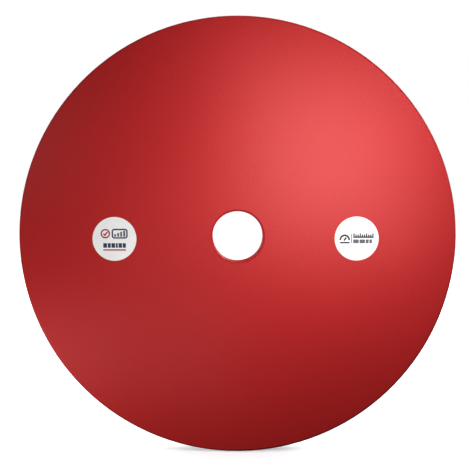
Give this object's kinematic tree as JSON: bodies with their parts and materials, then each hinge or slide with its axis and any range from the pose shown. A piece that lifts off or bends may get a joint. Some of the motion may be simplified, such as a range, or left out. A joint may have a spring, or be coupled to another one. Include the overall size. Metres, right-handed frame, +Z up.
{
  "type": "weight plate",
  "caption": "Round steel barbell weight plate with a flat rear face, a recessed front with raised rim and hub, a central sleeve bore and labels over its calibration plugs.",
  "frame": {"origin": "centre of the central bore, half way through the plate's thickness", "axes": "+Y along the bore, from the flat rear face towards the marked front face; +Z up with the plate standing upright; the two labels lie to the left (-X) and right (+X) of the bore, seen from the rear"},
  "size_m": [0.45, 0.027, 0.45],
  "materials": {
    "red_paint": "satin red paint on steel, white paint on the raised marking",
    "label_film": "white printed vinyl film",
    "zinc_steel": "zinc plated, turned",
    "plain_steel": "plain turned steel, oiled",
    "brass": "plain stamped brass",
    "aluminium": "plain rolled sheet"
  },
  "bodies": {
    "root": {"plate_disc": "red_paint", "label_left": "label_film", "label_right": "label_film", "calibration_plug_left": "zinc_steel", "calibration_plug_right": "zinc_steel", "ballast_slug_left": "plain_steel", "ballast_slug_right": "plain_steel", "trim_disc_left": "brass", "trim_disc_right": "brass", "trim_shim_left": "aluminium", "trim_shim_right": "aluminium"}
  },
  "joints": []
}
